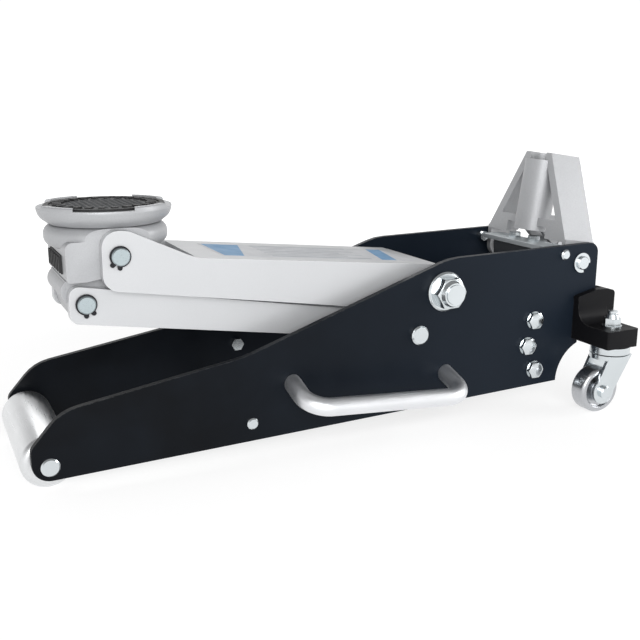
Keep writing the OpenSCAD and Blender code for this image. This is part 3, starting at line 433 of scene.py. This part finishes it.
def add_stem_threads():
    """The thread that stands out of each caster's nut."""
    stem_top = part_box("caster_stems")[1].z
    nut_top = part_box("stem_nuts")[1].z
    for side in ("left", "right"):
        swivel = joint_point(side + "_swivel")
        foot = Vector((swivel.x, swivel.y, nut_top + THREAD_START))
        add_thread(side + "_stem_thread", "caster_stems", foot, stem_top - foot.z - THREAD_END)


# The lift arm's top face: it looks up, lies near the middle and isn't a sliver
PANEL_MIN_RISE = 0.9
PANEL_REACH = 0.04
PANEL_MIN_AREA = 1e-4
SAME_PLANE = 0.9999


class Panel:
    """The top face of the lift arm: u runs along it from its front edge, v across it from its middle."""

    def __init__(self):
        mesh = frame["nodes"]["lift_arm"].data
        tops = [
            face for face in mesh.polygons
            if face.normal.z > PANEL_MIN_RISE
            and abs(face.center.y) < PANEL_REACH
            and face.area > PANEL_MIN_AREA
        ]
        largest = max(tops, key=lambda face: face.area)
        self.normal = largest.normal.copy()
        level = [face for face in tops if face.normal.dot(self.normal) > SAME_PLANE]
        corners = [mesh.vertices[v].co for face in level for v in face.vertices]
        self.start = min(corners, key=lambda corner: corner.x).copy()
        self.start.y = 0
        end = max(corners, key=lambda corner: corner.x).copy()
        end.y = 0
        self.length = (end - self.start).length
        self.along = (end - self.start).normalized()
        self.half = max(abs(corner.y) for corner in corners)

    def at(self, u, v, lift):
        return self.start + self.along * u + Vector((0, v, 0)) + self.normal * lift


LABEL_GROUND_TOP = 0.12 * MM
LABEL_PRINT_TOP = 0.2 * MM


def add_patch(name, panel, outline, low, high, material):
    """A thin printed patch on the panel, from low to high above it."""
    bm = bmesh.new()
    bottom = [bm.verts.new(panel.at(u, v, low)) for u, v in outline]
    top = [bm.verts.new(panel.at(u, v, high)) for u, v in outline]
    bm.faces.new(bottom[::-1])
    bm.faces.new(top)
    count = len(outline)
    for i in range(count):
        j = (i + 1) % count
        bm.faces.new((bottom[i], bottom[j], top[j], top[i]))
    new_piece(name, bm, material, "lift_arm")


def oblong(u0, u1, v0, v1):
    return [(u0, v0), (u1, v0), (u1, v1), (u0, v1)]


def add_label():
    """A plain label without lettering: a pale ground, a slanted blue block at each end, grey bars between."""
    panel = Panel()
    wide = panel.half - 8 * MM
    start, end = 22 * MM, panel.length - 12 * MM
    add_patch("label_ground", panel, oblong(start, end, -wide, wide), 0.0, LABEL_GROUND_TOP, LABEL_PAPER)
    printed_layer = (LABEL_GROUND_TOP, LABEL_PRINT_TOP)

    edge = 2 * MM
    slant = 16 * MM
    low, high = -wide + edge, wide - edge
    front, front_end = start + edge, start + 34 * MM
    rear, rear_end = end - 32 * MM, end - edge
    front_block = [(front, low), (front_end - slant, low), (front_end, high), (front, high)]
    rear_block = [(rear, low), (rear_end - slant, low), (rear_end, high), (rear + slant, high)]
    add_patch("label_block_front", panel, front_block, *printed_layer, LABEL_BLUE)
    add_patch("label_block_rear", panel, rear_block, *printed_layer, LABEL_BLUE)

    bar_start, bar_end = start + 43 * MM, end - 40 * MM
    margin = 6 * MM
    rows = 7
    for i in range(rows):
        v = -wide + margin + 2 * (wide - margin) * i / (rows - 1)
        half = 0.9 * MM if i % 3 else 1.6 * MM
        stop = bar_end - 18 * MM if i % 2 else bar_end
        bar = oblong(bar_start, stop, v - half, v + half)
        add_patch("label_bar_%d" % i, panel, bar, *printed_layer, LABEL_GREY)


def add_pad_grip():
    """Small blunt pyramids, open below, that stand on a thin disc over the middle of the saddle pad."""
    low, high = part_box("saddle_pad")
    centre = (low + high) / 2
    tooth_height = 1.6 * MM
    floor = high.z - tooth_height
    reach = 29.5 * MM
    pitch = 4.2 * MM
    half = 1.5 * MM
    top_half = half * 0.4
    rise = 0.9 * MM
    sink = 0.1 * MM
    disc_radius = reach + 1 * MM
    disc_height = floor + 0.05 * MM
    disc_sides = 48
    square = ((-1, -1), (1, -1), (1, 1), (-1, 1))
    count = int(reach / pitch)
    bm = bmesh.new()
    disc = []
    for i in range(disc_sides):
        angle = 2 * math.pi * i / disc_sides
        x, y = disc_radius * math.cos(angle), disc_radius * math.sin(angle)
        disc.append(bm.verts.new((centre.x + x, centre.y + y, disc_height)))
    bm.faces.new(disc)
    for i in range(-count, count + 1):
        for j in range(-count, count + 1):
            if math.hypot(i * pitch, j * pitch) > reach - half:
                continue
            x, y = centre.x + i * pitch, centre.y + j * pitch
            base = [bm.verts.new((x + a * half, y + b * half, floor - sink)) for a, b in square]
            top = [bm.verts.new((x + a * top_half, y + b * top_half, floor + rise)) for a, b in square]
            bm.faces.new(top)
            for k in range(4):
                bm.faces.new((base[k], base[(k + 1) % 4], top[(k + 1) % 4], top[k]))
    new_piece("pad_grip", bm, GRIP_GREY, "saddle_pad")


add_stem_threads()
add_label()
add_pad_grip()


# Stage


def add_floor():
    """A plain pale floor that gives off light, more of it far out, so that its shadows stay light."""
    size = 30.0
    near, far = 0.4, 1.3
    near_glow, far_glow = 0.74, 1.0
    mesh = bpy.data.meshes.new("floor")
    corners = [(-size, -size, 0), (size, -size, 0), (size, size, 0), (-size, size, 0)]
    mesh.from_pydata(corners, [], [(0, 1, 2, 3)])
    floor = bpy.data.objects.new("floor", mesh)
    bpy.context.scene.collection.objects.link(floor)
    s = Shader("floor_paper", roughness=0.9)
    s.bsdf.inputs["Base Color"].default_value = (0.34, 0.34, 0.34, 1)
    s.bsdf.inputs["Specular IOR Level"].default_value = 0.0
    s.bsdf.inputs["Emission Color"].default_value = (1, 1, 1, 1)
    reach = s.node("ShaderNodeVectorMath", operation="LENGTH")
    s.link(s.node("ShaderNodeTexCoord").outputs["Object"], reach.inputs[0])
    glow = s.remap(reach.outputs["Value"], near, far, near_glow, far_glow)
    s.link(glow, s.bsdf.inputs["Emission Strength"])
    s.bump(s.noise(60.0, 2.0), 0.0002, 0.1)
    mesh.materials.append(s.material)


def add_softbox(name, place, target, size, power):
    lamp = bpy.data.lights.new(name, "AREA")
    lamp.shape = "RECTANGLE"
    lamp.size, lamp.size_y = size
    lamp.energy = power
    holder = bpy.data.objects.new(name, lamp)
    holder.location = place
    holder.rotation_euler = (Vector(target) - Vector(place)).to_track_quat("-Z", "Y").to_euler()
    bpy.context.scene.collection.objects.link(holder)


def add_lights():
    """A white horizon under a dimmer sky, with soft boxes from the front, the side and behind."""
    horizon, overhead = 0.14, 0.6
    horizon_strength, overhead_strength = 1.05, 0.3
    world = bpy.data.worlds.new("studio")
    world.use_nodes = True
    tree = world.node_tree
    background = tree.nodes["Background"]
    split = tree.nodes.new("ShaderNodeSeparateXYZ")
    tree.links.new(tree.nodes.new("ShaderNodeTexCoord").outputs["Generated"], split.inputs["Vector"])
    fade = tree.nodes.new("ShaderNodeMapRange")
    fade.inputs["From Min"].default_value = horizon
    fade.inputs["From Max"].default_value = overhead
    fade.inputs["To Min"].default_value = horizon_strength
    fade.inputs["To Max"].default_value = overhead_strength
    tree.links.new(split.outputs["Z"], fade.inputs["Value"])
    tree.links.new(fade.outputs["Result"], background.inputs["Strength"])
    background.inputs["Color"].default_value = (1.0, 1.0, 1.0, 1)
    bpy.context.scene.world = world
    middle = (0.0, 0.0, 0.1)
    add_softbox("key", (-0.6, -1.6, 0.75), middle, (1.2, 0.8), 24)
    add_softbox("side", (1.7, -0.7, 0.7), middle, (0.7, 1.0), 12)
    add_softbox("back", (0.2, 1.8, 1.4), middle, (1.4, 0.6), 10)


# The camera stands this far ahead of the roller's axle, from the jack's mid-plane and above the floor
CAMERA_AHEAD = 0.0751
CAMERA_AWAY = 0.6565
CAMERA_HEIGHT = 0.2684
# Its angles in degrees: from straight across the jack towards +X, and below the level
CAMERA_TURN = 25.5
CAMERA_DOWN = 14.25


def add_camera():
    """The camera stands off the left side, just ahead of the roller's axle, and looks across and back."""
    camera = bpy.data.cameras.new("camera")
    camera.lens = 49.5
    camera.sensor_width = 36
    holder = bpy.data.objects.new("camera", camera)
    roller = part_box("front_roller")
    axle_x = (roller[0].x + roller[1].x) / 2
    holder.location = (axle_x - CAMERA_AHEAD, -CAMERA_AWAY, CAMERA_HEIGHT)
    holder.rotation_euler = (math.radians(90 - CAMERA_DOWN), 0, math.radians(-CAMERA_TURN))
    bpy.context.scene.collection.objects.link(holder)
    bpy.context.scene.camera = holder


add_floor()
add_lights()
add_camera()
bpy.context.scene.view_settings.view_transform = "Standard"
